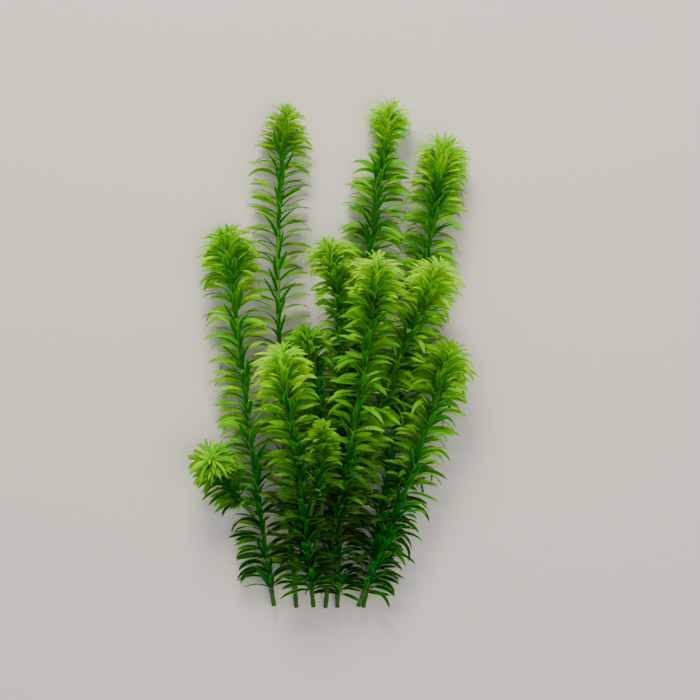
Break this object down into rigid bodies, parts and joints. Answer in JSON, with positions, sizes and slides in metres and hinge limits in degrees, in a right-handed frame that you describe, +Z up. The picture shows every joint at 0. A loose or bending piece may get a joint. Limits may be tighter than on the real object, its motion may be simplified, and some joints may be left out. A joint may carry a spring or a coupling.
{
  "type": "brazilian waterweed",
  "caption": "Bunch of leafy waterweed shoots lying down: slender stems with whorls of narrow pointed leaves, dense bushy tips, and stem ends cut off level.",
  "frame": {"origin": "centre of the bunch's bounding box in plan, on the flat surface it lies on", "axes": "+Y from the cut stem ends to the growing tips, +Z up out of the surface, +X to the right seen from above with the tips away"},
  "size_m": [0.1684, 0.2968, 0.0648],
  "materials": {
    "deep_green_growth": "soft satin living leaf, darker older green",
    "mid_green_growth": "soft satin living leaf, fresh green",
    "yellow_green_growth": "soft satin living leaf, young yellow green"
  },
  "bodies": {
    "root": {"tall_left_shoot": "deep_green_growth", "tall_centre_shoot": "mid_green_growth", "tall_right_shoot": "mid_green_growth", "outer_left_shoot": "mid_green_growth", "outer_right_shoot": "mid_green_growth", "leaning_left_shoot": "yellow_green_growth", "front_left_shoot": "yellow_green_growth", "far_left_branch": "yellow_green_growth", "small_back_branch": "mid_green_growth", "short_front_branch": "mid_green_growth", "centre_front_branch": "yellow_green_growth", "right_middle_branch": "yellow_green_growth"}
  },
  "joints": []
}
